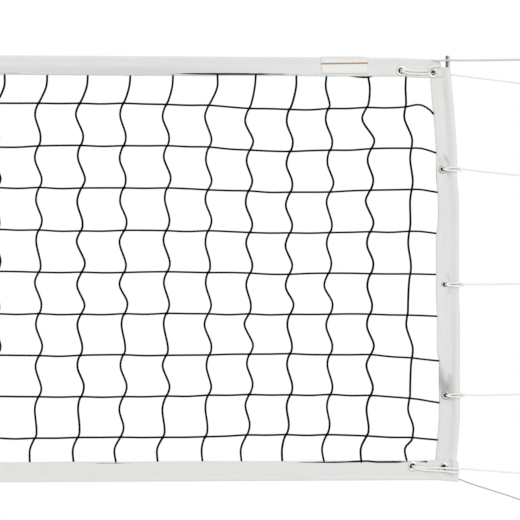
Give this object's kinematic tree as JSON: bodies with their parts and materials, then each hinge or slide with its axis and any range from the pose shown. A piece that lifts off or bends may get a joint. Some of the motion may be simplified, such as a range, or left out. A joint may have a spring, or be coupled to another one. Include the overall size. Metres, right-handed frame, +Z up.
{
  "type": "volleyball net on posts",
  "caption": "Full-width volleyball net with white bands and black knotted mesh, laced to two telescoping floor-bolted posts, with a geared hand winch on one post.",
  "frame": {"origin": "on the floor, midway between the two post centres", "axes": "+Z up, X along the net towards the winch post, the net hangs in the plane y = 0 and its label faces -Y"},
  "size_m": [10.9, 0.4, 2.446],
  "materials": {
    "base_paint": "satin black powder coat",
    "post_outer": "satin anodised",
    "post_inner": "satin anodised",
    "collar_plastic": "fine textured",
    "knob_plastic": "fine textured",
    "head_cast": "black coated casting",
    "bright_steel": "zinc plated",
    "sheave_plastic": "turned nylon",
    "winch_steel": "zinc plated",
    "gear_steel": "machined, oiled",
    "cable_coated": "grey plastic coating over steel rope",
    "cable_bare": "galvanised wire rope",
    "band_cloth": "white coated cloth",
    "label_cloth": "white woven patch",
    "dowel_grey": "grey glass-fibre rod",
    "net_cord": "black braided cord",
    "grommet_nickel": "nickel plated",
    "rope_white": "white braided polyester"
  },
  "bodies": {
    "base": {"base_plate_right": "base_paint", "base_plate_left": "base_paint", "outer_post_right": "post_outer", "outer_post_left": "post_outer", "guide_collar_right": "collar_plastic", "guide_collar_left": "collar_plastic"},
    "net_frame": {"inner_post_right": "post_inner", "inner_post_left": "post_inner", "glide_foot_right": "collar_plastic", "glide_foot_left": "collar_plastic", "pulley_head": "head_cast", "anchor_head": "head_cast", "sheave_axle": "bright_steel", "anchor_pin": "bright_steel", "eye_bolts_right": "bright_steel", "eye_bolts_left": "bright_steel", "winch_frame": "winch_steel", "winch_u_bolts": "bright_steel", "drum_axle": "bright_steel", "top_band": "band_cloth", "bottom_band": "band_cloth", "side_band_right": "band_cloth", "side_band_left": "band_cloth", "dowel_right": "dowel_grey", "dowel_left": "dowel_grey", "label_patch": "label_cloth", "netting": "net_cord", "grommets_right": "grommet_nickel", "grommets_left": "grommet_nickel", "top_cable": "cable_coated", "cable_ferrule": "cable_bare", "bottom_cable": "cable_bare", "top_lashing_right": "rope_white", "top_lashing_left": "rope_white", "bottom_lashing_right": "rope_white", "bottom_lashing_left": "rope_white", "upper_tie_right": "rope_white", "upper_tie_left": "rope_white", "middle_tie_right": "rope_white", "middle_tie_left": "rope_white", "lower_tie_right": "rope_white", "lower_tie_left": "rope_white"},
    "knob_right": {"height_knob_right": "knob_plastic"},
    "knob_left": {"height_knob_left": "knob_plastic"},
    "sheave": {"sheave": "sheave_plastic"},
    "drum": {"drum": "winch_steel", "drum_gear": "gear_steel", "drum_winding": "cable_coated"},
    "crank": {"pinion": "gear_steel", "crank_shaft": "bright_steel", "brake_hub": "gear_steel", "crank_arm": "winch_steel", "grip_spindle": "bright_steel"},
    "grip": {"crank_grip": "knob_plastic"}
  },
  "joints": [
    {"name": "height_adjust", "type": "slide", "parent": "base", "child": "net_frame", "axis": [0, 0, 1], "range_m": [-0.19, 0]},
    {"name": "knob_right_turn", "type": "hinge", "parent": "base", "child": "knob_right", "pos_m": [5.312, 0, 0.825], "axis": [1, 0, 0], "range_deg": [0, 360]},
    {"name": "knob_left_turn", "type": "hinge", "parent": "base", "child": "knob_left", "pos_m": [-5.312, 0, 0.825], "axis": [-1, 0, 0], "range_deg": [0, 360]},
    {"name": "drum_spin", "type": "hinge", "parent": "net_frame", "child": "drum", "pos_m": [5.34462, 0, 1.3], "axis": [0, 1, 0], "continuous": true},
    {"name": "crank_turn", "type": "hinge", "parent": "net_frame", "child": "crank", "pos_m": [5.34462, 0, 1.23625], "axis": [0, 1, 0], "continuous": true},
    {"name": "sheave_spin", "type": "hinge", "parent": "net_frame", "child": "sheave", "pos_m": [5.264, 0, 2.4], "axis": [0, 1, 0], "continuous": true},
    {"name": "grip_spin", "type": "hinge", "parent": "crank", "child": "grip", "pos_m": [5.34462, 0, 1.08625], "axis": [0, 1, 0], "continuous": true}
  ],
  "couplings": [
    {"joint": "crank_turn", "follows": "drum_spin", "ratio": -2.4},
    {"joint": "sheave_spin", "follows": "drum_spin", "ratio": -0.76}
  ]
}
